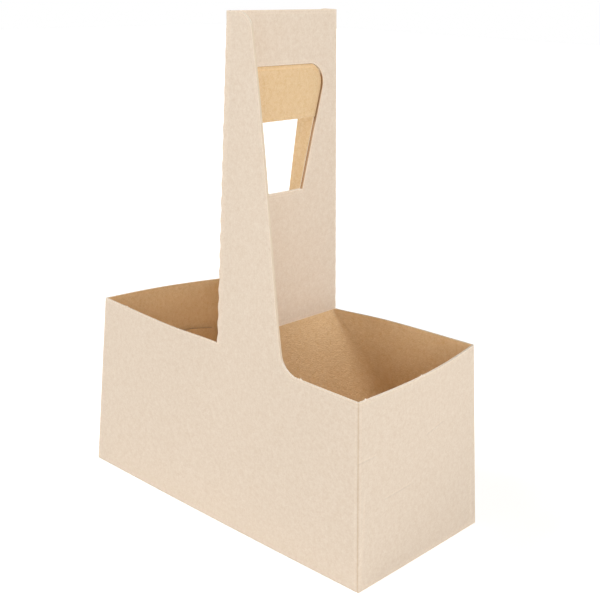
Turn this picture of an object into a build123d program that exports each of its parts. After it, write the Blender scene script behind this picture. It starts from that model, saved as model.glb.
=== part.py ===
from build123d import *
import os

# Two-cup carrier, folded and glued from one sheet of fine-flute corrugated card.
# Millimetres: X runs along the tray, Y across it and Z up, from the middle of the base.

# The card and its folds
board = 1.2
fold_radius_share = 0.85

# The tray, outside; the long walls lean in and run on into the handle in one plane
base_length = 210.0
rim_length = 196.0
base_width = 102.0
wall_height = 100.0

# The handle, outside
carrier_height = 269.0
handle_top_width = 79.0

# The strip that rises from each long wall, measured from the handle's middle plane
strip_top_width = 15.5
strip_foot_width = 51.0
strip_corner_radius = 10.0
strip_foot_radius = 11.5

# The hand hole through both layers of the handle, under the bar that is held
bar_height = 27.3
hole_height = 66.5
hole_top_width = 65.0
hole_bottom_width = 30.8
hole_corner_radius = 10.5
hole_heel_radius = 1.2

# The flap that is left hanging in the hole of the outer layer
flap_length = 28.5
cut_gap = 0.3

# The tabs of the base, glued up inside the end walls and the back wall
end_tab_height = 66.0
back_tab_height = 30.0
tab_margin = 1.5
tab_draw = 5.0
tab_corner_radius = 4.0

# The lap that closes the four walls into a ring, inside the back left corner
lap_width = 25.0
lap_draw = 6.0
lap_margin = 4.0

fold_radius = fold_radius_share * board
side_lean = (base_width - handle_top_width) / 2 / carrier_height
end_lean = (base_length - rim_length) / 2 / wall_height
hole_top = carrier_height - bar_height
hole_bottom = hole_top - hole_height


def side_face(height):
    """Distance of a long wall's outer face from the middle plane, at a height."""
    return base_width / 2 - side_lean * height


def end_face(height):
    """Distance of an end wall's outer face from the middle plane, at a height."""
    return base_length / 2 - end_lean * height


def leaning_layer(plane, face, inset, high):
    """One thickness of card on the positive side, its outer face set in from a wall's face."""
    section = Polyline(
        (face(0) - inset, 0),
        (face(high) - inset, high),
        (face(high) - inset - board, high),
        (face(0) - inset - board, 0),
        close=True,
    )
    return extrude(plane * make_face(section), amount=base_length, both=True)


def die_cut(layer, plane, outline):
    """The part of a layer of card that lies inside an outline drawn on a plane."""
    return layer & extrude(plane * outline, amount=base_length, both=True)


def rounded_polygon(points, radii):
    """Face with straight sides whose corners are rounded where a radius is given."""
    face = make_face(Polyline(*points, close=True))
    for point, radius in zip(points, radii):
        if radius:
            corner = face.vertices().sort_by_distance(Vector(*point))[0]
            face = fillet(corner, radius)
    return face


def half_turn(piece):
    """The same piece on the opposite side: the carrier looks alike from both long sides."""
    return Rot(0, 0, 180) * piece


def long_panel():
    """Back wall and the strip that rises from it to the handle, in one leaning plane."""
    outline = rounded_polygon(
        [
            (-end_face(0), 0),
            (end_face(0), 0),
            (end_face(wall_height), wall_height),
            (board, wall_height),
            (board, carrier_height),
            (-strip_top_width, carrier_height),
            (-strip_foot_width, wall_height),
            (-end_face(wall_height), wall_height),
        ],
        [0, 0, 0, 0, 0, strip_corner_radius, strip_foot_radius, 0],
    )
    return die_cut(leaning_layer(Plane.YZ, side_face, 0, carrier_height), Plane.XZ, outline)


def end_panel():
    """End wall on the positive side, between the long walls' outer faces."""
    outline = rounded_polygon(
        [
            (-side_face(0), 0),
            (side_face(0), 0),
            (side_face(wall_height), wall_height),
            (-side_face(wall_height), wall_height),
        ],
        [0, 0, 0, 0],
    )
    return die_cut(leaning_layer(Plane.XZ, end_face, 0, wall_height), Plane.YZ, outline)


def tab(plane, face, cut_plane, cross_face, inset, height):
    """Tab turned up from the base and glued inside a wall, narrower at its free edge."""
    foot = cross_face(0) - inset - tab_margin
    head = cross_face(height) - inset - tab_margin - tab_draw
    outline = rounded_polygon(
        [(-foot, 0), (foot, 0), (head, height), (-head, height)],
        [0, 0, tab_corner_radius, tab_corner_radius],
    )
    return die_cut(leaning_layer(plane, face, board, height), cut_plane, outline)


def base_panel():
    """Base between the walls, half a board into each, hinged on the front wall's lower fold."""
    length = 2 * end_face(board) - board
    width = 2 * side_face(board) - board
    return extrude(Rectangle(length, width), amount=board)


def closing_lap():
    """Lap of the left end wall, glued on the inside of the back wall above the back tab."""
    low = back_tab_height + lap_margin
    high = wall_height - lap_margin
    outline = rounded_polygon(
        [
            (-end_face(low) + board / 2, low),
            (-end_face(low) + board + lap_width, low + lap_draw),
            (-end_face(high) + board + lap_width, high - lap_draw),
            (-end_face(high) + board / 2, high),
        ],
        [0, 0, 0, 0],
    )
    return die_cut(leaning_layer(Plane.YZ, side_face, board, high), Plane.XZ, outline)


def handle_plate():
    """The two layers of the handle, glued inner face to inner face across the tray."""
    foot = side_face(wall_height) - board / 2
    head = side_face(carrier_height) - board / 2
    outline = Polyline(
        (-foot, wall_height),
        (foot, wall_height),
        (head, carrier_height),
        (-head, carrier_height),
        close=True,
    )
    return extrude(Plane.YZ * make_face(outline), amount=board, both=True)


def hand_hole():
    """Outline of the hand hole: wide and round-shouldered above, narrow below."""
    return rounded_polygon(
        [
            (-hole_bottom_width / 2, hole_bottom),
            (hole_bottom_width / 2, hole_bottom),
            (hole_top_width / 2, hole_top),
            (-hole_top_width / 2, hole_top),
        ],
        [hole_heel_radius, hole_heel_radius, hole_corner_radius, hole_corner_radius],
    )


def fold_groove(plane, face, reach):
    """Groove under the base where its rounded fold meets the cut lower edge of a wall."""
    wall = face(0) - board
    corner = Line((wall - fold_radius, 0), (wall, 0)) + Line((wall, 0), (wall, fold_radius))
    bend = RadiusArc((wall, fold_radius), (wall - fold_radius, 0), fold_radius)
    return extrude(plane * make_face(corner + bend), amount=reach, both=True)


def carrier_body():
    """The whole folded sheet, apart from the flap in its hand hole."""
    end_reach = side_face(0) - board
    body = long_panel() + half_turn(long_panel()) + end_panel() + half_turn(end_panel())
    body += base_panel() + handle_plate() + closing_lap()
    end_tab = tab(Plane.XZ, end_face, Plane.YZ, side_face, board, end_tab_height)
    body += end_tab + half_turn(end_tab)
    body += tab(Plane.YZ, side_face, Plane.XZ, end_face, 2 * board, back_tab_height)
    body -= extrude(Plane.YZ * hand_hole(), amount=2 * board, both=True)
    end_groove = fold_groove(Plane.XZ, end_face, end_reach)
    body -= end_groove + half_turn(end_groove)
    body -= fold_groove(Plane.YZ, side_face, end_face(0) - board)
    return round_folds(body)


def round_folds(body):
    """Round the outside of the wall corners, the handle's two folds and the front lower fold."""
    corners = [
        (side_x * end_face(wall_height / 2), side_y * side_face(wall_height / 2), wall_height / 2)
        for side_x in (-1, 1)
        for side_y in (-1, 1)
    ]
    handle_middle = (wall_height + carrier_height) / 2
    handle_folds = [
        (side * board, side * side_face(handle_middle), handle_middle) for side in (-1, 1)
    ]
    front_fold = [(0, -side_face(0), 0)]
    folds = [
        body.edges().sort_by_distance(Vector(*place))[0]
        for place in corners + handle_folds + front_fold
    ]
    return fillet(folds, fold_radius)


def grip_flap():
    """Flap of the outer layer: the upper part of the hole's outline, cut free on three sides."""
    outline = offset(hand_hole(), amount=-cut_gap)
    kept = Pos(0, hole_top - flap_length / 2) * Rectangle(hole_top_width, flap_length)
    return extrude(Plane.YZ * (outline & kept), amount=-board)


os.makedirs("parts", exist_ok=True)
export_step(carrier_body(), "parts/carrier_body.step")
export_step(grip_flap(), "parts/grip_flap.step")
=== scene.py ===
import math

import bpy
import numpy as np
from mathutils import Matrix, Vector


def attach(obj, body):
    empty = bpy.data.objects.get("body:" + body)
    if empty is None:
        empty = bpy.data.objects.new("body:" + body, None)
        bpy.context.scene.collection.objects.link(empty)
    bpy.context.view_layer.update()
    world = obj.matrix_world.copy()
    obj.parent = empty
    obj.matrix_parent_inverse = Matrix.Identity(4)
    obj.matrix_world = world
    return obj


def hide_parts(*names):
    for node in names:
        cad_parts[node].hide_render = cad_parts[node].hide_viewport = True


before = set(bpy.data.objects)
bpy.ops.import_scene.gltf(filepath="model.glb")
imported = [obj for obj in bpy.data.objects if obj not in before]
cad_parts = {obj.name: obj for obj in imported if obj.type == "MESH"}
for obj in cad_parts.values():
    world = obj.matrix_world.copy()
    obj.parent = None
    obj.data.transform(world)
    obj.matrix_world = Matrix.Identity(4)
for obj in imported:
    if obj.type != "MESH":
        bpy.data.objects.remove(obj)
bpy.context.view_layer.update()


# The four walls are one strip of fine-flute corrugated card, folded round the corners, die-cut
# along the rim and glued by a lap inside the back left corner. It stands a little out of true:
# the walls belly out, and the handle draws the long ones in. Lengths are in millimetres.
BOARD = 1.2
WALL_HEIGHT = 100.0
FOLD_LEG = 1.3
FOLD_STEPS = 6
FIT_GAP = 0.1

# Each wall starts at the corner of its own number and runs to the next, seen from outside.
LEFT, FRONT, RIGHT, BACK = range(4)
FOOT = np.array([
    [-103.7, 49.8, 0.0], [-104.6, -50.1, 0.0], [103.8, -49.7, 0.0], [104.8, 50.4, 0.0],
])
RIM = np.array([
    [-99.7, 49.4, 96.6], [-99.5, -44.2, 102.9], [99.8, -50.1, 98.9], [98.7, 44.9, 103.8],
])
OUTWARD = np.array([[-1.0, 0.0, 0.0], [0.0, -1.0, 0.0], [1.0, 0.0, 0.0], [0.0, 1.0, 0.0]])
FOOT_BELLY = (0.2, 0.8, 0.2, 0.4)
RIM_BELLY = (3.2, 2.3, 4.0, 3.6)
RIM_PINCH = (0.0, 3.5, 0.0, 4.1)
PINCH_REACH_SHARE = 0.13

# The spans turn millimetres into shares of a wall.
LONG_SPAN = 200.0
END_SPAN = 100.0
END_SPAN_INSIDE = 97.0

# The die leaves small nibs on the rim, where it held the sheet. Their places are shares of a wall.
NIB_SHARES = {FRONT: (0.1075, 0.8125), RIGHT: (0.055, 0.4675)}
NIB_HEIGHT = 0.65
NIB_WIDTH_SHARE = 0.003

LAP_WIDTH = 25.0
LAP_LOW = 34.0
LAP_HIGH = 96.0
LAP_DRAW = 6.0
LAP_COLUMNS = 6

# The foot of the strip that rises from each long wall, measured from the handle's fold.
CARRIER_TOP = 269.0
STRIP_EDGE_FOOT = 52.3
STRIP_EDGE_TOP = 16.6
STRIP_FOOT_RADIUS = 11.5
STRIP_COLUMN_SHARES = np.linspace(0, 1, 23)

# Even columns for a whole wall, and the heights of its rows.
WALL_COLUMNS = {LEFT: 30, FRONT: 60, RIGHT: 30, BACK: 60}
WALL_ROWS = (0, 2, 8, 14, 20, 27, LAP_LOW, 42, 50, 58, 66, 74, 82, 90, LAP_HIGH, 98.4, WALL_HEIGHT)

edge_slope = (STRIP_EDGE_FOOT - STRIP_EDGE_TOP) / (CARRIER_TOP - WALL_HEIGHT)
edge_stretch = math.hypot(1, edge_slope)
foot_middle = STRIP_EDGE_FOOT + STRIP_FOOT_RADIUS * (edge_stretch - edge_slope)


def wall(side, share, height):
    """Outer liner of a wall: straight from corner to corner at the floor and at the rim and
    straight up between the two, bowed out by half a sine wave and drawn in at its middle by a
    bell curve that grows with height. share runs from 0 to 1 to the right, seen from outside."""
    share = np.asarray(share, float)[..., None]
    rise = np.asarray(height, float)[..., None] / WALL_HEIGHT
    after = (side + 1) % 4
    low = FOOT[side] + (FOOT[after] - FOOT[side]) * share
    high = RIM[side] + (RIM[after] - RIM[side]) * share
    belly = (FOOT_BELLY[side] * (1 - rise) + RIM_BELLY[side] * rise) * np.sin(np.pi * share)
    pinch = RIM_PINCH[side] * rise * np.exp(-(((share - 0.5) / PINCH_REACH_SHARE) ** 2))
    return low + (high - low) * rise + OUTWARD[side] * (belly - pinch)


def inside(side, share, height):
    """Outer liner of a lap or tab that is glued inside a wall: the wall's own, moved inwards by
    one board and a hair."""
    return wall(side, share, height) - OUTWARD[side] * (BOARD + FIT_GAP)


def bend(start, corner, end):
    """A fold: the points inside a quadratic curve from start to end, pulled towards corner.
    The three are columns of points, and the new points are the columns between them."""
    turn = (np.arange(1, FOLD_STEPS) / FOLD_STEPS)[None, :, None]
    start, corner, end = start[:, None], corner[:, None], end[:, None]
    return start * (1 - turn) ** 2 + corner * 2 * turn * (1 - turn) + end * turn**2


def share_at(side, place):
    """Share of a long wall's rim at which it reaches a place along X."""
    after = (side + 1) % 4
    return (place - RIM[side][0]) / (RIM[after][0] - RIM[side][0])


def run_lengths(points):
    """Length along each row of a grid of points, counted from its first column."""
    steps = np.linalg.norm(np.diff(points, axis=1), axis=-1)
    return np.concatenate([np.zeros((len(points), 1)), np.cumsum(steps, axis=1)], axis=1)


def all_card(points):
    """The cells of a grid of points, all of them card."""
    return np.ones((points.shape[0] - 1, points.shape[1] - 1), bool)


def wall_shares(side, start, end):
    """Columns of a wall from start to end, evenly spaced, with five more over each nib."""
    nibs = [nib + NIB_WIDTH_SHARE * step for nib in NIB_SHARES.get(side, ()) for step in range(-2, 3)]
    spaced = np.linspace(start, end, 1 + round((end - start) * WALL_COLUMNS[side]))
    between = [nib for nib in nibs if start < nib < end]
    return np.unique(np.round(np.concatenate([spaced, between]), 6))


def long_wall_shares(side, end):
    """Columns of a long wall: those that run on up its strip, and evenly spaced ones beside it."""
    turn = 1.0 if side == BACK else -1.0
    strip_foot = FOLD_LEG + (foot_middle - FOLD_LEG) * STRIP_COLUMN_SHARES
    foot = share_at(side, turn * (BOARD - strip_foot))
    before = wall_shares(side, long_leg, foot[0])[:-1]
    return np.concatenate([before, foot, wall_shares(side, foot[-1], end)[1:]])


heights = np.array(WALL_ROWS)[:, None]
long_leg = FOLD_LEG / LONG_SPAN
end_leg = FOLD_LEG / END_SPAN
lap_corner = (BOARD + FIT_GAP) / END_SPAN_INSIDE
columns = {
    LEFT: wall_shares(LEFT, lap_corner + end_leg, 1 - end_leg),
    FRONT: long_wall_shares(FRONT, 1 - long_leg),
    RIGHT: wall_shares(RIGHT, end_leg, 1 - end_leg),
    BACK: long_wall_shares(BACK, 1),
}

lap = inside(BACK, np.linspace(1 - LAP_WIDTH / LONG_SPAN, 1 - long_leg, LAP_COLUMNS), heights)
lap_middle = (LAP_LOW + LAP_HIGH) / 2
lap_taper = 1 - LAP_DRAW / (LAP_HIGH - lap_middle) * np.linspace(1, 0, LAP_COLUMNS)
lap[..., 2] = lap_middle + (lap[..., 2] - lap_middle) * lap_taper

ring = [lap]
fold_columns = []
for side in (LEFT, FRONT, RIGHT, BACK):
    shares = columns[side]
    lift = np.broadcast_to(heights, (len(heights), len(shares))).copy()
    if side == FRONT:
        lift[0] = FOLD_LEG
    panel = wall(side, shares, lift)
    for nib in NIB_SHARES.get(side, ()):
        panel[-1, :, 2] += NIB_HEIGHT * np.exp(-(((shares - nib) / NIB_WIDTH_SHARE) ** 2))
    corner_share = lap_corner if side == LEFT else 0.0
    corner = wall(side, np.full(len(heights), corner_share), heights[:, 0])
    fold_columns.append(sum(part.shape[1] for part in ring) + FOLD_STEPS // 2 - 1)
    ring += [bend(ring[-1][:, -1], corner, panel[:, 0]), panel]

# Places on the flat sheet: across runs along the ring of walls at half height, from the lap's
# free edge, and heights up them. corner_places are the folds at the start of each wall.
walls = np.concatenate(ring, axis=1)
across = run_lengths(walls)[len(heights) // 2]
corner_places = across[fold_columns]
panel_start = {side: sum(part.shape[1] for part in ring[: 2 * side + 2]) for side in (FRONT, BACK)}
walls_flat = np.stack(np.broadcast_arrays(across, heights), -1)
walls_fold = np.abs(across[:, None] - corner_places).min(1) + 0 * heights
walls_kept = all_card(walls)
beside_lap = (heights[:-1, 0] < LAP_LOW) | (heights[:-1, 0] >= LAP_HIGH)
walls_kept[beside_lap, : LAP_COLUMNS - 1] = False
patches = [(walls, walls_flat, walls_fold, walls_kept)]


# The two strips rise from the middle of the long walls in one piece with them. At the top each
# is folded along a perforated line, square across the tray, into one of the two layers of the
# handle, which are glued kraft to kraft. The hand hole is punched through both layers.
STRIP_TOP = {FRONT: -39.45, BACK: 39.1}
STRIP_HEAD_RADIUS = 10.0
RIM_SLOPE_POWER = 8
HOLE_TOP = 241.7
HOLE_BOTTOM = 175.2
HOLE_HALF_TOP = 32.5
HOLE_HALF_BOTTOM = 15.4
HOLE_RADIUS = 10.5
LAYER_GAP = 0.03

# The perforation tears into shallow teeth, which fade towards the top of the fold.
TOOTH_SPACING = 9.2
TOOTH_DEPTH = {FRONT: 0.75, BACK: 0.15}
TOOTH_START = 127.6
TOOTH_FADE = 0.7

# Where the closer rows of the handle start, above the rim and below a rounded corner.
FOOT_BAND = 14.0
HOLE_SHOULDER_LEAD = 3.0
STRIP_HEAD_LEAD = 2.0
SIDE_COLUMNS = 9
HOLE_COLUMNS = 13
HAIR = 0.01


def strip_edge(above):
    """Distance of a strip's free edge from the handle's fold, by height above the rim: a
    straight slant, rounded into the top edge and into the rim by an arc of a circle each."""
    slant = STRIP_EDGE_FOOT - edge_slope * above
    head = CARRIER_TOP - WALL_HEIGHT - STRIP_HEAD_RADIUS
    head_middle = STRIP_EDGE_FOOT - edge_slope * head - STRIP_HEAD_RADIUS * edge_stretch
    head_arc = head_middle + np.sqrt(np.maximum(STRIP_HEAD_RADIUS**2 - (above - head) ** 2, 0))
    foot_rise = np.maximum(STRIP_FOOT_RADIUS**2 - (above - STRIP_FOOT_RADIUS) ** 2, 0)
    foot_arc = foot_middle - np.sqrt(foot_rise)
    head_start = head + STRIP_HEAD_RADIUS * edge_slope / edge_stretch
    foot_end = STRIP_FOOT_RADIUS * (1 - edge_slope / edge_stretch)
    return np.where(above > head_start, head_arc, np.where(above < foot_end, foot_arc, slant))


def hole_half(height):
    """Half the width of the hand hole at a height: straight sides that draw in downwards,
    rounded into the top edge by an arc of a circle."""
    slope = (HOLE_HALF_TOP - HOLE_HALF_BOTTOM) / (HOLE_TOP - HOLE_BOTTOM)
    stretch = math.hypot(1, slope)
    height = np.clip(height, HOLE_BOTTOM, HOLE_TOP)
    straight = HOLE_HALF_BOTTOM + slope * (height - HOLE_BOTTOM)
    middle = HOLE_TOP - HOLE_RADIUS
    arc_middle = HOLE_HALF_BOTTOM + slope * (middle - HOLE_BOTTOM) - HOLE_RADIUS * stretch
    arc = arc_middle + np.sqrt(np.maximum(HOLE_RADIUS**2 - (height - middle) ** 2, 0))
    return np.where(height > middle - HOLE_RADIUS * slope / stretch, arc, straight)


def strip(side, reach, climb):
    """Outer liner of a strip. reach is the distance from the handle's fold and climb runs from
    0 at the rim to 1 at the top. It leaves the rim in the wall's own slope, which dies out as a
    high power of climb, and eases into one straight plane; across, it flattens upwards."""
    turn = 1.0 if side == BACK else -1.0
    place = turn * (BOARD - reach)
    share, middle = share_at(side, place), share_at(side, turn * BOARD)
    rim, rim_middle = wall(side, share, WALL_HEIGHT + 0 * share), wall(side, middle, WALL_HEIGHT)
    height = rim[..., 2] + (CARRIER_TOP - rim[..., 2]) * climb
    carried_on = wall(side, share, WALL_HEIGHT * height / rim[..., 2])[..., 1]
    curve = (rim[..., 1] - rim_middle[1]) * (1 - climb * climb * (3 - 2 * climb))
    plane = rim_middle[1] + (STRIP_TOP[side] - rim_middle[1]) * climb + curve
    depth = plane + (carried_on - plane) * (1 - climb) ** RIM_SLOPE_POWER
    return np.stack([place, depth, height], -1)


def eased(start, end, steps, at_start):
    """Numbers from start to end that crowd together at one end, as a quarter of a cosine wave."""
    quarter = np.linspace(0, np.pi / 2, steps + 1)
    share = 1 - np.cos(quarter) if at_start else np.sin(quarter)
    return start + (end - start) * share


def handle_rows(rim):
    """Heights of the handle's rows, closer together where an outline is rounded."""
    foot_end = rim + FOOT_BAND
    shoulder = HOLE_TOP - HOLE_RADIUS - HOLE_SHOULDER_LEAD
    head = CARRIER_TOP - STRIP_HEAD_RADIUS - STRIP_HEAD_LEAD
    return np.concatenate([
        eased(rim, foot_end, 10, True),
        np.linspace(foot_end, HOLE_BOTTOM, 40)[1:],
        np.linspace(HOLE_BOTTOM, shoulder, 35)[1:],
        eased(shoulder, HOLE_TOP, 10, False)[1:],
        np.linspace(HOLE_TOP, head, 12)[1:],
        eased(head, CARRIER_TOP, 9, False)[1:],
    ])[:, None]


def handle_half(side):
    """One strip, its perforated fold and the layer of the handle that hangs on it, as one grid:
    columns run along the layer from its far edge, past the hole, round the fold and out to the
    strip's free edge; rows run up from the rim. The teeth are a sine wave along the fold."""
    turn = 1.0 if side == BACK else -1.0
    other = FRONT if side == BACK else BACK
    rim = wall(side, share_at(side, turn * BOARD), WALL_HEIGHT)[2]
    rows = handle_rows(rim)
    climb = (rows - rim) / (CARRIER_TOP - rim)
    out = strip_edge(climb * (CARRIER_TOP - WALL_HEIGHT))
    reach = FOLD_LEG + (out - FOLD_LEG) * STRIP_COLUMN_SHARES
    free = strip(side, reach, climb + 0 * reach)
    fold_line = strip(side, 0 * rows, climb)[:, 0]
    far_line = strip(other, 0 * rows, climb)[:, 0]

    near = turn * fold_line[:, 1:2] - FOLD_LEG
    far = turn * far_line[:, 1:2] + BOARD + FIT_GAP
    half = hole_half(rows)
    along = np.concatenate([
        far + (-half - far) * np.linspace(0, 1, SIDE_COLUMNS),
        half * np.linspace(-1, 1, HOLE_COLUMNS)[1:-1],
        half + (near - half) * np.linspace(0, 1, SIDE_COLUMNS),
    ], axis=1)
    layer = turn * (BOARD + LAYER_GAP)
    plate = np.stack(np.broadcast_arrays(layer, turn * along, rows), -1)
    wave = np.sin(2 * np.pi * (rows[:, 0] - TOOTH_START) / TOOTH_SPACING)
    teeth = TOOTH_DEPTH[side] * (1 - TOOTH_FADE * climb[:, 0]) * wave
    corner = np.stack([turn * (BOARD + LAYER_GAP + teeth), fold_line[:, 1], rows[:, 0]], -1)
    points = np.concatenate([plate, bend(plate[:, -1], corner, free[:, 0]), free], axis=1)

    fold_share = share_at(side, turn * (BOARD - FOLD_LEG))
    fold_column = panel_start[side] + np.argmin(np.abs(columns[side] - fold_share))
    home = across[fold_column] - FOLD_LEG
    fold_run = np.linspace(-FOLD_LEG, FOLD_LEG, FOLD_STEPS + 1)[1:-1]
    over = np.concatenate([along - near - FOLD_LEG, fold_run + 0 * rows, reach], axis=1)
    flat = np.stack(np.broadcast_arrays(home + over, rows + WALL_HEIGHT - rim), -1)
    kept = all_card(points)
    open_rows = (rows[:-1, 0] > HOLE_BOTTOM - HAIR) & (rows[1:, 0] < HOLE_TOP + HAIR)
    open_columns = np.arange(SIDE_COLUMNS - 1, SIDE_COLUMNS + HOLE_COLUMNS - 2)
    kept[np.ix_(open_rows, open_columns)] = False
    return points, flat, np.abs(over), kept


patches += [handle_half(FRONT), handle_half(BACK)]


# The base is hinged on the front wall's lower fold and lies between the other three. Its end
# tabs are glued up inside the end walls, with a slanted shoulder towards the back, and a lower
# tab inside the back wall. The end tabs' free edges curl off the walls.
END_TAB = 69.4
END_TAB_SLANT = 0.13
END_TAB_SHOULDER = 27.0
BACK_TAB = 30.0
TAB_MARGIN = 1.5
TAB_DRAW = 5.0
TAB_ROUND = 4.0
TAB_CURL = 1.6
BASE_ROW_SHARES = np.concatenate([
    [0, 0.015, 0.022, 0.035, 0.055],
    np.linspace(0.085, 0.885, 12),
    [0.915, 0.935, 0.948, 0.955, 1],
])

front_shares = columns[FRONT]
base_share = (front_shares - front_shares[0]) / (front_shares[-1] - front_shares[0])
on_floor = 0 * base_share
front_corner = wall(FRONT, front_shares, on_floor)
front_depth = front_corner[:, 1] + FOLD_LEG
back_corner = inside(BACK, 1 - base_share, on_floor)
back_depth = back_corner[:, 1] - FOLD_LEG
edge_gap = np.where(BASE_ROW_SHARES < 1, FOLD_LEG, FIT_GAP)
left_edge = inside(LEFT, 1 - BASE_ROW_SHARES, 0 * BASE_ROW_SHARES)[:, 0] + edge_gap
right_edge = inside(RIGHT, BASE_ROW_SHARES, 0 * BASE_ROW_SHARES)[:, 0] - edge_gap

# The base's first row keeps the front wall's columns, and from the next on it spans the ends.
settled = np.minimum(BASE_ROW_SHARES / BASE_ROW_SHARES[1], 1)
spanned = left_edge + (right_edge - left_edge) * base_share[:, None]
base = np.stack([
    front_corner[:, 0:1] * (1 - settled) + spanned * settled,
    front_depth[:, None] + (back_depth - front_depth)[:, None] * BASE_ROW_SHARES,
    np.zeros((len(base_share), len(BASE_ROW_SHARES))),
], -1)

tab_climb = np.linspace(0, 1, 6)
tab_taper = 1 - (TAB_MARGIN + TAB_DRAW * tab_climb) / END_SPAN
back_height = FOLD_LEG + (BACK_TAB - FOLD_LEG) * tab_climb
back_shares = 0.5 - (base_share[:, None] - 0.5) * tab_taper
back_tab = inside(BACK, back_shares, back_height + 0 * base_share[:, None])
front_low = wall(FRONT, front_shares, FOLD_LEG + 0 * front_shares)

# The base lies on the flat sheet below the front wall, with its back tab lowest.
base_strips = [
    front_low[:, None],
    bend(front_low, front_corner, base[:, 0]),
    base,
    bend(base[:, -1], back_corner, back_tab[:, 0]),
    back_tab,
]
base_sheet = np.concatenate(base_strips, axis=1).transpose(1, 0, 2)[::-1]
base_along = FOLD_LEG - run_lengths(base_sheet.transpose(1, 0, 2)[:, ::-1])[:, ::-1].T
base_across = across[panel_start[FRONT] : panel_start[FRONT] + len(front_shares)]
base_flat = np.stack(np.broadcast_arrays(base_across, base_along), -1)
back_fold_along = base_along[len(tab_climb) + FOLD_STEPS // 2 - 1]
base_fold = np.minimum(np.abs(base_along), np.abs(base_along - back_fold_along))
patches.append((base_sheet, base_flat, base_fold, all_card(base_sheet)))

tab_shares = BASE_ROW_SHARES[1:-1]
from_side = np.minimum(tab_shares - tab_shares[0], tab_shares[-1] - tab_shares) * END_SPAN_INSIDE
in_corner = np.maximum(TAB_ROUND - from_side, 0)
rounding = TAB_ROUND - np.sqrt(TAB_ROUND**2 - in_corner**2)


def end_tab(side):
    """One end tab and its fold, as a grid whose rows run up from the base's edge. Its top is
    straight, then slants down past the shoulder, and its two corners are arcs. It narrows
    upwards, and leaves the wall as the fourth power of the way up."""
    share = 1 - tab_shares if side == LEFT else tab_shares
    past_shoulder = np.maximum(END_TAB_SHOULDER - END_SPAN * (1 - tab_shares), 0)
    top = END_TAB - END_TAB_SLANT * past_shoulder - rounding
    height = FOLD_LEG + (top - FOLD_LEG) * tab_climb[:, None]
    drawn_in = 0.5 + (share - 0.5) * tab_taper[:, None]
    curl = OUTWARD[side] * (TAB_CURL * tab_climb**4)[:, None, None]
    tab = (inside(side, drawn_in, height) - curl).transpose(1, 0, 2)
    hinge = base[0 if side == LEFT else -1, 1:-1]
    fold = bend(hinge, inside(side, share, 0 * share), tab[:, 0])
    sheet = np.concatenate([hinge[:, None], fold, tab], axis=1)[::-1]
    if side == LEFT:
        sheet = sheet[:, ::-1]
    along = run_lengths(sheet)
    if side == LEFT:
        along = along - along[:, -1:]
    hinge_across = base_across[0 if side == LEFT else -1]
    flat = np.stack([along + hinge_across, sheet[..., 1] + FOOT[FRONT, 1]], -1)
    return sheet, flat, np.abs(np.abs(along) - FOLD_LEG), all_card(sheet)


patches += [end_tab(LEFT), end_tab(RIGHT)]


# All the panels are one sheet, one board thick: the outer liner, the inner liner one board
# behind it, and the die-cut edges between the two. What is glued lies a hair apart.
PER_METRE = 1000
SHARP_DEGREES = 50
DISTANCE_BLOCKS = 40


def distance_from_cuts(points, cut_from, cut_along):
    """Distance of each point from the nearest cut: the shortest of its distances from all the
    short straight edges that the cuts are made of, worked out in blocks to save memory."""
    shortest = []
    for block in np.array_split(points, DISTANCE_BLOCKS):
        offset = block[:, None] - cut_from
        share = np.clip((offset * cut_along).sum(-1) / (cut_along**2).sum(-1), 0, 1)
        apart = offset - share[..., None] * cut_along
        shortest.append(np.sqrt((apart**2).sum(-1).min(1)))
    return np.concatenate(shortest)


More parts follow.
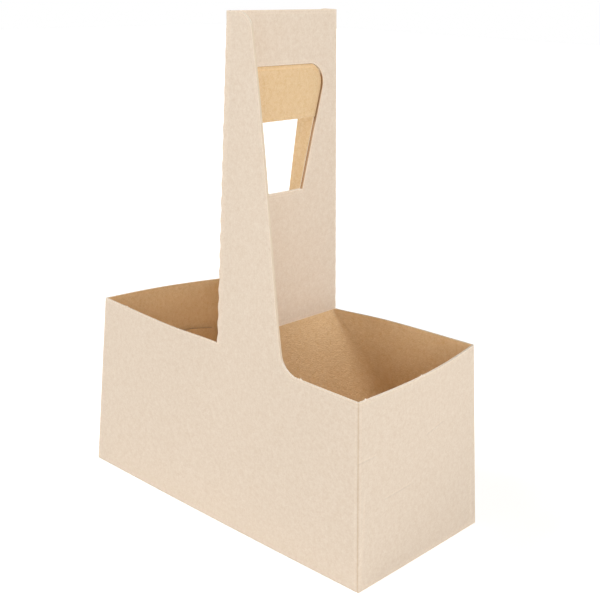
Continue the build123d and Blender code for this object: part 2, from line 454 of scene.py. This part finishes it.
def card(name, patches):
    """A closed mesh of one thickness of card. A patch is a grid of points on the outer liner, rows
    upwards and columns to the right seen from outside, with their places on the flat sheet,
    their distance from a fold, and which cells are card. Points that fall together are one.
    The inner liner lies one board behind the outer along the mean normal of the cells around
    each point, but no lower or higher than it, and a cut edge is every edge that only one cell
    has. Each point keeps its place on the sheet and how deep in the board it lies, and as marks
    its distance from a cut, from a fold, and how nearly a cut there runs along the flutes."""
    quads, start = [], 0
    for points, flat, fold, kept in patches:
        index = start + np.arange(points.shape[0] * points.shape[1]).reshape(points.shape[:2])
        cells = np.stack([index[:-1, :-1], index[:-1, 1:], index[1:, 1:], index[1:, :-1]], -1)
        quads.append(cells[kept])
        start += index.size
    points = np.concatenate([patch[0].reshape(-1, 3) for patch in patches])
    flat = np.concatenate([patch[1].reshape(-1, 2) for patch in patches])
    fold = np.concatenate([patch[2].reshape(-1) for patch in patches])
    _, first, same = np.unique(np.round(points, 3), axis=0, return_index=True, return_inverse=True)
    used, quads = np.unique(first[same.reshape(-1)[np.concatenate(quads)]], return_inverse=True)
    quads = quads.reshape(-1, 4)
    points, flat, fold, count = points[used], flat[used], fold[used], len(used)

    corners = points[quads]
    facing = np.cross(corners[:, 2] - corners[:, 0], corners[:, 3] - corners[:, 1])
    normals = np.zeros_like(points)
    np.add.at(normals, quads, facing[:, None])
    normals /= np.linalg.norm(normals, axis=1, keepdims=True)

    sides = np.stack([quads, np.roll(quads, -1, axis=1)], -1).reshape(-1, 2)
    keys = sides.min(1) * count + sides.max(1)
    _, place, times = np.unique(keys, return_index=True, return_counts=True)
    cut = sides[place[times == 1]]
    cut_run = np.abs(flat[cut[:, 1]] - flat[cut[:, 0]])
    open_share = np.zeros(count)
    np.maximum.at(open_share, cut, (cut_run[:, 1] / cut_run.sum(1))[:, None])
    from_cut = distance_from_cuts(points, points[cut[:, 0]], points[cut[:, 1]] - points[cut[:, 0]])

    inner = points - BOARD * normals
    inner[:, 2] = np.clip(inner[:, 2], points[:, 2].min(), points[:, 2].max())
    edge_faces = np.stack([cut[:, 1], cut[:, 0], cut[:, 0] + count, cut[:, 1] + count], -1)
    faces = np.concatenate([quads, quads[:, ::-1] + count, edge_faces])
    papers = np.repeat([0, 1, 2], [len(quads), len(quads), len(cut)]).astype(np.int32)
    mesh = bpy.data.meshes.new(name)
    both_liners = np.concatenate([points, inner]) / PER_METRE
    mesh.from_pydata(both_liners.tolist(), [], faces.tolist())
    mesh.polygons.foreach_set("material_index", papers)
    mesh.polygons.foreach_set("use_smooth", np.ones(len(faces), bool))
    mesh.set_sharp_from_angle(angle=math.radians(SHARP_DEGREES))
    depth = np.repeat([0.0, BOARD], count)[:, None]
    sheet = np.hstack([np.tile(flat, (2, 1)), depth])
    marks = np.stack([np.tile(from_cut, 2), np.tile(fold, 2), np.tile(open_share, 2)], -1)
    for label, values in (("sheet", sheet), ("marks", marks)):
        stored = mesh.attributes.new(label, "FLOAT_VECTOR", "POINT")
        stored.data.foreach_set("vector", values.astype(np.float32).ravel())
    mesh.update()
    piece = bpy.data.objects.new(name, mesh)
    bpy.context.scene.collection.objects.link(piece)
    return piece


folded_sheet = card("folded_sheet", patches)


# The card is made of three papers: a white-topped outer liner, calendered but fibrous and a
# little mottled; a plain kraft inner liner, browner, cloudier and rougher; and a fluted kraft
# layer between them that shows only at the cut edges.
FLUTE_PITCH = 2.4
LINER = 0.2
FLUTED_LAYER = 0.13
WHITE = (1.0, 1.0, 1.0, 1.0)

# Paper fibres are about 0.1 mm across. They are drawn as coarse as this, so that they show.
FIBRE = 0.9
FIBRE_RELIEF = 0.1
FLUTE_RELIEF_SHARE = 0.05
ROUGHNESS_SPREAD = 0.08
PAPER_GLOSS = 0.3

# Marks of making, drawn as painted shade and painted highlights: widths in millimetres, and how much
# paler the painted highlights leave the paper, as shares.
SCORE_PAINTED_SHADE = "#F3ECE2"
SCORE_CORE = 0.1
SCORE_WIDTH = 0.5
EDGE_HIGHLIGHT_CORE = 0.2
EDGE_HIGHLIGHT_WIDTH = 0.9
PRESSED_LINE = 1.7
PRESSED_WIDTH = 0.45
PALER_SHARE = 0.03


def linear(code):
    """An sRGB hex colour as the linear one that a shader takes."""
    shown = np.array([int(code[i : i + 2], 16) / 255 for i in (1, 3, 5)])
    light = np.where(shown <= 0.04045, shown / 12.92, ((shown + 0.055) / 1.055) ** 2.4)
    return (*light.tolist(), 1.0)


def add(tree, kind, inputs, **settings):
    """A node with its settings and links. Inputs are keyed by the socket's name or number and
    hold a number, a colour, another node's output, or a node for the first output in use."""
    made = tree.nodes.new("ShaderNode" + kind)
    for key, value in settings.items():
        setattr(made, key, value)
    for key, value in inputs.items():
        if isinstance(value, bpy.types.Node):
            value = next(output for output in value.outputs if output.enabled)
        if isinstance(value, bpy.types.NodeSocket):
            tree.links.new(value, made.inputs[key])
        else:
            made.inputs[key].default_value = value
    return made


def liner(name, light, dark, cloud_mm, contrast, roughness, relief, edge_highlight):
    """A paper in two shades, mixed by clouds of pulp and by fibres. A scored fold gets a thin line of
    painted shade with painted highlights on its shoulders. Along a die-cut edge the colour is
    multiplied by a factor, given as an argument, that paints a highlight there, and a paler pressed
    line beside it is a painted highlight too. The clouds and fibres raise the surface, by more the
    greater the relief, and the flutes show through as a faint washboard."""
    material = bpy.data.materials.new(name)
    material.use_nodes = True
    tree = material.node_tree
    shader = tree.nodes["Principled BSDF"]
    place = add(tree, "TexCoord", {}).outputs["Object"]
    stored_marks = add(tree, "Attribute", {}, attribute_name="marks").outputs["Vector"]
    marks = add(tree, "SeparateXYZ", {0: stored_marks}).outputs
    stored_sheet = add(tree, "Attribute", {}, attribute_name="sheet").outputs["Vector"]
    sheet = add(tree, "SeparateXYZ", {0: stored_sheet}).outputs

    cloud = add(tree, "TexNoise", {
        "Vector": place, "Scale": PER_METRE / cloud_mm, "Detail": 4.0, "Roughness": 0.6,
    })
    fibre = add(tree, "TexNoise", {
        "Vector": place, "Scale": PER_METRE / FIBRE, "Detail": 2.0, "Roughness": 0.7,
    })
    pulp = add(tree, "Math", {0: cloud, 1: fibre}, operation="ADD")
    tone = add(tree, "MapRange", {"Value": pulp, "From Min": 1 - contrast, "From Max": 1 + contrast})
    paper = add(tree, "Mix", {0: tone, 6: linear(dark), 7: linear(light)}, data_type="RGBA")

    # Painted shade along a scored fold, and painted highlights on its shoulders beside it.
    from_score = add(tree, "MapRange", {
        "Value": marks["Y"], "From Min": SCORE_CORE, "From Max": SCORE_WIDTH,
    })
    score_painted_shade = add(tree, "Mix", {0: from_score, 6: linear(SCORE_PAINTED_SHADE), 7: WHITE}, data_type="RGBA")
    shoulder = add(tree, "Math", {
        0: marks["Y"], 1: 3 * SCORE_WIDTH, 2: SCORE_WIDTH,
    }, operation="COMPARE")
    # Painted highlight along a die-cut edge, and a paler pressed line beside it, also a painted
    # highlight.
    painted_edge_highlight = add(tree, "MapRange", {
        "Value": marks["X"], "From Min": EDGE_HIGHLIGHT_CORE, "From Max": EDGE_HIGHLIGHT_WIDTH,
        "To Min": edge_highlight, "To Max": 1.0,
    })
    pressed_line_highlight = add(tree, "Math", {
        0: marks["X"], 1: PRESSED_LINE, 2: PRESSED_WIDTH,
    }, operation="COMPARE")
    painted_highlights = add(tree, "Math", {0: shoulder, 1: PALER_SHARE, 2: painted_edge_highlight}, operation="MULTIPLY_ADD")
    painted_highlights = add(tree, "Math", {0: pressed_line_highlight, 1: PALER_SHARE, 2: painted_highlights}, operation="MULTIPLY_ADD")
    paper_with_fold_shade = add(tree, "Mix", {0: 1.0, 6: paper, 7: score_painted_shade}, data_type="RGBA", blend_type="MULTIPLY")
    paper_with_painted_light = add(tree, "Mix", {0: 1.0, 6: paper_with_fold_shade, 7: painted_highlights}, data_type="RGBA", blend_type="MULTIPLY")
    tree.links.new(paper_with_painted_light.outputs[2], shader.inputs["Base Color"])

    flute_turn = add(tree, "Math", {0: sheet["X"], 1: 2 * math.pi / FLUTE_PITCH}, operation="MULTIPLY")
    flute = add(tree, "Math", {0: flute_turn}, operation="SINE")
    raised = add(tree, "Math", {
        0: flute, 1: FLUTE_RELIEF_SHARE / relief, 2: pulp,
    }, operation="MULTIPLY_ADD")
    bump = add(tree, "Bump", {"Height": raised, "Distance": FIBRE_RELIEF * relief / PER_METRE})
    tree.links.new(bump.outputs[0], shader.inputs["Normal"])
    rough = add(tree, "MapRange", {
        "Value": fibre, "To Min": roughness - ROUGHNESS_SPREAD, "To Max": roughness + ROUGHNESS_SPREAD,
    })
    tree.links.new(rough.outputs[0], shader.inputs["Roughness"])
    shader.inputs["Specular IOR Level"].default_value = PAPER_GLOSS
    return material


# Pressed smooth between rollers: an even, matt, creamy white, with only a breath of mottling.
# Its die-cut edges get a painted highlight, a tenth paler.
outer_liner = liner(
    "white_top_liner_calendered", "#F1E2D0", "#E3CFB9",
    cloud_mm=2.2, contrast=0.38, roughness=0.8, relief=0.15, edge_highlight=1.1,
)
# Left as it came off the wire: brown, cloudier, and rough enough to catch light from the side.
inner_liner = liner(
    "kraft_liner_uncoated", "#F6DAB3", "#E4BF8A",
    cloud_mm=2.6, contrast=0.42, roughness=0.88, relief=3.4, edge_highlight=1.0,
)
# Cut through by a steel rule, which crushes the layers to a pale, dry, fibrous line.
cut_edge = liner(
    "kraft_flutes_die_cut", "#FFF8EC", "#F3E4D0",
    cloud_mm=1.5, contrast=0.3, roughness=0.9, relief=0.15, edge_highlight=1.0,
)

# Colours of a cut edge: painted shade in the hollows between flutes, the brown kraft of an opened
# channel darkened with painted shade, and the pale of the rolled outer liner, which also paints light
# on edges that face the ends. The ranges say from where to where a cut turns to run along the flutes,
# and an edge to an end.
HOLLOW_PAINTED_SHADE = "#F4E6D2"
CHANNEL_KRAFT_AND_SHADE = "#AA8058"
ROLLED_EDGE_AND_PAINTED_LIGHT = "#E8D6BE"
ALONG_FLUTES = (0.6, 0.8)
TO_AN_END = (0.5, 0.8)
ROLLED_DEPTH = 0.45


def show_flutes(material):
    """What a cut edge shows of the core. A cut across the flutes shows them as a sine wave with painted
    shade in the hollows behind it. A cut along them opens a channel of brown kraft darkened with
    painted shade, apart from the outer liner's edge, which the rule rolls over it, and from edges that
    face the ends, which are painted pale as painted light, where the side lamps fall on them."""
    tree = material.node_tree
    shader = tree.nodes["Principled BSDF"]
    paper = shader.inputs["Base Color"].links[0].from_socket
    stored_sheet = add(tree, "Attribute", {}, attribute_name="sheet").outputs["Vector"]
    sheet = add(tree, "SeparateXYZ", {0: stored_sheet}).outputs
    stored_marks = add(tree, "Attribute", {}, attribute_name="marks").outputs["Vector"]
    marks = add(tree, "SeparateXYZ", {0: stored_marks}).outputs

    flute_turn = add(tree, "Math", {0: sheet["X"], 1: 2 * math.pi / FLUTE_PITCH}, operation="MULTIPLY")
    flute = add(tree, "Math", {0: flute_turn}, operation="SINE")
    middle = add(tree, "Math", {
        0: flute, 1: BOARD / 2 - LINER, 2: BOARD / 2,
    }, operation="MULTIPLY_ADD")
    on_flute = add(tree, "Math", {0: sheet["Z"], 1: middle, 2: FLUTED_LAYER}, operation="COMPARE")
    between = add(tree, "Math", {
        0: sheet["Z"], 1: BOARD / 2, 2: BOARD / 2 - LINER,
    }, operation="COMPARE")
    # Painted shade in the hollows between the flutes.
    painted_hollow_shade = add(tree, "Math", {0: between, 1: on_flute}, operation="SUBTRACT", use_clamp=True)
    wavy = add(tree, "Mix", {0: painted_hollow_shade, 6: paper, 7: linear(HOLLOW_PAINTED_SHADE)}, data_type="RGBA")

    facing = add(tree, "SeparateXYZ", {0: add(tree, "TexCoord", {}).outputs["Normal"]}).outputs
    # Painted light: edges that face the ends are paler, where light falls on them from the side.
    facing_end = add(tree, "Math", {0: facing["X"]}, operation="ABSOLUTE")
    facing_end_painted_light = add(tree, "MapRange", {
        "Value": facing_end, "From Min": TO_AN_END[0], "From Max": TO_AN_END[1],
    })
    rolled = add(tree, "Math", {0: sheet["Z"], 1: ROLLED_DEPTH}, operation="LESS_THAN")
    rolled_and_painted_light = add(tree, "Math", {0: rolled, 1: facing_end_painted_light}, operation="MAXIMUM")
    # The brown kraft of an opened channel, darkened with painted shade.
    channel_kraft_and_shade = add(tree, "Mix", {
        0: rolled_and_painted_light, 6: linear(CHANNEL_KRAFT_AND_SHADE), 7: linear(ROLLED_EDGE_AND_PAINTED_LIGHT),
    }, data_type="RGBA")
    opened = add(tree, "MapRange", {
        "Value": marks["Z"], "From Min": ALONG_FLUTES[0], "From Max": ALONG_FLUTES[1],
    })
    core = add(tree, "Mix", {0: opened, 6: wavy, 7: channel_kraft_and_shade}, data_type="RGBA")
    tree.links.new(core.outputs[2], shader.inputs["Base Color"])


show_flutes(cut_edge)

# The end tab inside shows through the right wall in places as a faint crease, and one more crease runs
# below it. Each is painted: a line of painted shade for its groove and a painted highlight for its lip.
# Each is given by its two ends, across from the wall's front corner and up.
RIGHT_WALL_CREASES = (
    ((0.0, 68.9), (11.7, 69.1)),
    ((49.5, 67.4), (65.0, 69.8)),
    ((18.6, 43.9), (38.4, 44.8)),
)
CREASE_WIDTH = 0.45
CREASE_PAINTED_SHADE = -0.05
LIP_PAINTED_HIGHLIGHT = 0.035


def press_creases(material):
    """Short straight lines on the flat sheet, each a groove of painted shade with a painted highlight
    on the lip above it: a point's way along a line and its distance from it are two dot products."""
    tree = material.node_tree
    shader = tree.nodes["Principled BSDF"]
    paper = shader.inputs["Base Color"].links[0].from_socket
    sheet = add(tree, "Attribute", {}, attribute_name="sheet").outputs["Vector"]
    for (from_x, from_y), (to_x, to_y) in RIGHT_WALL_CREASES:
        length = math.hypot(to_x - from_x, to_y - from_y)
        line_x, line_y = (to_x - from_x) / length, (to_y - from_y) / length
        start = (float(corner_places[RIGHT]) + from_x, from_y, 0.0)
        offset = add(tree, "VectorMath", {0: sheet, 1: start}, operation="SUBTRACT")
        along = add(tree, "VectorMath", {0: offset, 1: (line_x, line_y, 0.0)}, operation="DOT_PRODUCT")
        away = add(tree, "VectorMath", {0: offset, 1: (-line_y, line_x, 0.0)}, operation="DOT_PRODUCT")
        reached = add(tree, "Math", {0: along, 1: length / 2, 2: length / 2}, operation="COMPARE")
        # Painted shade in the groove and a painted highlight on the lip above it.
        groove_painted_shade = add(tree, "Math", {0: away, 1: 0.0, 2: CREASE_WIDTH}, operation="COMPARE")
        lip_painted_highlight = add(tree, "Math", {0: away, 1: 2 * CREASE_WIDTH, 2: CREASE_WIDTH}, operation="COMPARE")
        sunk = add(tree, "Math", {0: groove_painted_shade, 1: CREASE_PAINTED_SHADE, 2: 1.0}, operation="MULTIPLY_ADD")
        shade = add(tree, "Math", {0: lip_painted_highlight, 1: LIP_PAINTED_HIGHLIGHT, 2: sunk}, operation="MULTIPLY_ADD")
        there = add(tree, "Mix", {0: reached, 2: 1.0, 3: shade}, data_type="FLOAT")
        paper = add(tree, "Mix", {
            0: 1.0, 6: paper, 7: there,
        }, data_type="RGBA", blend_type="MULTIPLY")
    tree.links.new(paper.outputs[2], shader.inputs["Base Color"])


press_creases(outer_liner)

for material in (outer_liner, inner_liner, cut_edge):
    folded_sheet.data.materials.append(material)
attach(folded_sheet, "carrier")
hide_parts("carrier_body")


# The flap is what the punch leaves of the outer layer in the hand hole, so it is the same card.
# It hangs from its crease along the top of the hole, kraft side to the right, and swings out of
# the way of the fingers.
FLAP_TOP = 241.4
FLAP_LENGTH = 28.2
FLAP_COLUMNS = 17
CUT_GAP = 0.3

shoulder_height = HOLE_TOP - HOLE_RADIUS
flap_height = np.concatenate([
    np.linspace(FLAP_TOP - FLAP_LENGTH, shoulder_height, 8),
    eased(shoulder_height, FLAP_TOP, 12, False)[1:],
])[:, None]
flap_depth = (hole_half(flap_height) - CUT_GAP) * np.linspace(1, -1, FLAP_COLUMNS)
flap_points = np.stack(np.broadcast_arrays(-BOARD - LAYER_GAP, flap_depth, flap_height), -1)
flap_flat = np.stack(np.broadcast_arrays(-flap_depth, flap_height), -1)
flap_fold = FLAP_TOP - flap_height + 0 * flap_depth
grip_flap = card("grip_flap_card", [(flap_points, flap_flat, flap_fold, all_card(flap_points))])
for material in (outer_liner, inner_liner, cut_edge):
    grip_flap.data.materials.append(material)
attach(grip_flap, "flap")
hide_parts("grip_flap")


# The floor is a wide sheet of white paper. It glows a little for the camera alone, so that it is
# seen as white where nothing shades it, and keeps the carrier's shadow.
FLOOR_REACH = 4
FLOOR_GLOW = 0.68

floor_corners = [(x * FLOOR_REACH, y * FLOOR_REACH, 0) for x, y in ((-1, -1), (1, -1), (1, 1), (-1, 1))]
floor_mesh = bpy.data.meshes.new("studio_floor")
floor_mesh.from_pydata(floor_corners, [], [(0, 1, 2, 3)])
floor = bpy.data.objects.new("studio_floor", floor_mesh)
bpy.context.scene.collection.objects.link(floor)

# Uncoated white paper scatters all light and mirrors none, so it gives a plain, even ground.
studio_paper = bpy.data.materials.new("studio_paper_white")
studio_paper.use_nodes = True
paper_tree = studio_paper.node_tree
paper_shader = paper_tree.nodes["Principled BSDF"]
paper_shader.inputs["Base Color"].default_value = linear("#D8D6D3")
paper_shader.inputs["Roughness"].default_value = 0.9
paper_shader.inputs["Specular IOR Level"].default_value = 0.0
seen_by_camera = add(paper_tree, "LightPath", {}).outputs["Is Camera Ray"]
glow = add(paper_tree, "Emission", {"Color": WHITE, "Strength": FLOOR_GLOW})
no_glow = add(paper_tree, "Emission", {"Strength": 0.0})
camera_glow = add(paper_tree, "MixShader", {0: seen_by_camera, 1: no_glow, 2: glow})
lit_and_glowing = add(paper_tree, "AddShader", {0: paper_shader, 1: camera_glow})
paper_tree.links.new(lit_and_glowing.outputs[0], paper_tree.nodes["Material Output"].inputs["Surface"])
floor_mesh.materials.append(studio_paper)


# Soft studio light: white screens low all round, dimmer overhead, a broad lamp high in front on
# the left, whose light passes under the handle onto the back wall, and weaker ones in front, by
# the camera and at the back. Each lamp has a strength, a breadth and a direction.
SCREENS = 1.03
CEILING = 0.21
SCREENS_TOP = 0.1
CEILING_START = 0.4
LAMPS = (
    ("lamp_left", 1.75, 0.42, (0.482, 0.443, -0.756)),
    ("lamp_front", 0.17, 0.4, (0.05, 0.94, -0.34)),
    ("lamp_camera", 0.47, 0.4, (-0.66, 0.70, -0.30)),
    ("lamp_back", 0.72, 0.5, (-0.3, -0.9, -0.3)),
)

studio = bpy.data.worlds.new("studio")
studio.use_nodes = True
bpy.context.scene.world = studio
studio_tree = studio.node_tree
looking = add(studio_tree, "TexCoord", {}).outputs["Generated"]
upwards = add(studio_tree, "SeparateXYZ", {0: looking}).outputs["Z"]
surround = add(studio_tree, "MapRange", {
    "Value": upwards, "From Min": SCREENS_TOP, "From Max": CEILING_START,
    "To Min": SCREENS, "To Max": CEILING,
}, interpolation_type="SMOOTHSTEP")
seen_behind = add(studio_tree, "LightPath", {}).outputs["Is Camera Ray"]
strength = add(studio_tree, "Mix", {0: seen_behind, 2: surround, 3: 1.0}, data_type="FLOAT")
background = studio_tree.nodes["Background"]
background.inputs["Color"].default_value = WHITE
studio_tree.links.new(strength.outputs[0], background.inputs["Strength"])


def hang(light, facing):
    """A light's object, which faces a direction."""
    lamp = bpy.data.objects.new(light.name, light)
    bpy.context.scene.collection.objects.link(lamp)
    lamp.rotation_euler = Vector(facing).to_track_quat("-Z", "Y").to_euler()
    return lamp


for name, power, breadth, facing in LAMPS:
    sun = bpy.data.lights.new(name, "SUN")
    sun.energy = power
    sun.angle = breadth
    hang(sun, facing)


# The softbox on the right stands close and low, so it lights the end wall more than the handle.
# It is a square lamp in metres and watts.
SOFTBOX_SIZE = 0.5
SOFTBOX_POWER = 3.5
SOFTBOX_PLACE = (1.05, -0.05, 0.12)
SOFTBOX_FACING = (-1.0, 0.04, -0.03)

softbox = bpy.data.lights.new("softbox_right", "AREA")
softbox.shape = "SQUARE"
softbox.size = SOFTBOX_SIZE
softbox.energy = SOFTBOX_POWER
softbox_lamp = hang(softbox, SOFTBOX_FACING)
softbox_lamp.location = SOFTBOX_PLACE
softbox_lamp.visible_camera = False


# The camera stands in front of the right end, a little above the handle. Its place is in metres
# and its angles are in radians, and the focal length is in pixels of a picture 600 wide.
EYE = Vector((0.3806, -0.3945, 0.2872))
YAW, PITCH, ROLL = 0.7470, 0.3040, 0.0233
FOCAL_PIXELS = 1044.2
PICTURE_WIDTH = 600
SENSOR_WIDTH = 36.0
NEAREST = 0.01

sight = Vector((
    -math.sin(YAW) * math.cos(PITCH), math.cos(YAW) * math.cos(PITCH), -math.sin(PITCH),
))
level_right = sight.cross(Vector((0, 0, 1))).normalized()
level_up = level_right.cross(sight)
picture_right = math.cos(ROLL) * level_right + math.sin(ROLL) * level_up
picture_up = math.cos(ROLL) * level_up - math.sin(ROLL) * level_right
lens = bpy.data.cameras.new("camera")
lens.sensor_width = SENSOR_WIDTH
lens.lens = FOCAL_PIXELS * SENSOR_WIDTH / PICTURE_WIDTH
lens.clip_start = NEAREST
camera = bpy.data.objects.new("camera", lens)
turned = Matrix((picture_right, picture_up, -sight)).transposed()
camera.matrix_world = Matrix.Translation(EYE) @ turned.to_4x4()
bpy.context.scene.collection.objects.link(camera)
bpy.context.scene.camera = camera
bpy.context.scene.view_settings.view_transform = "Standard"
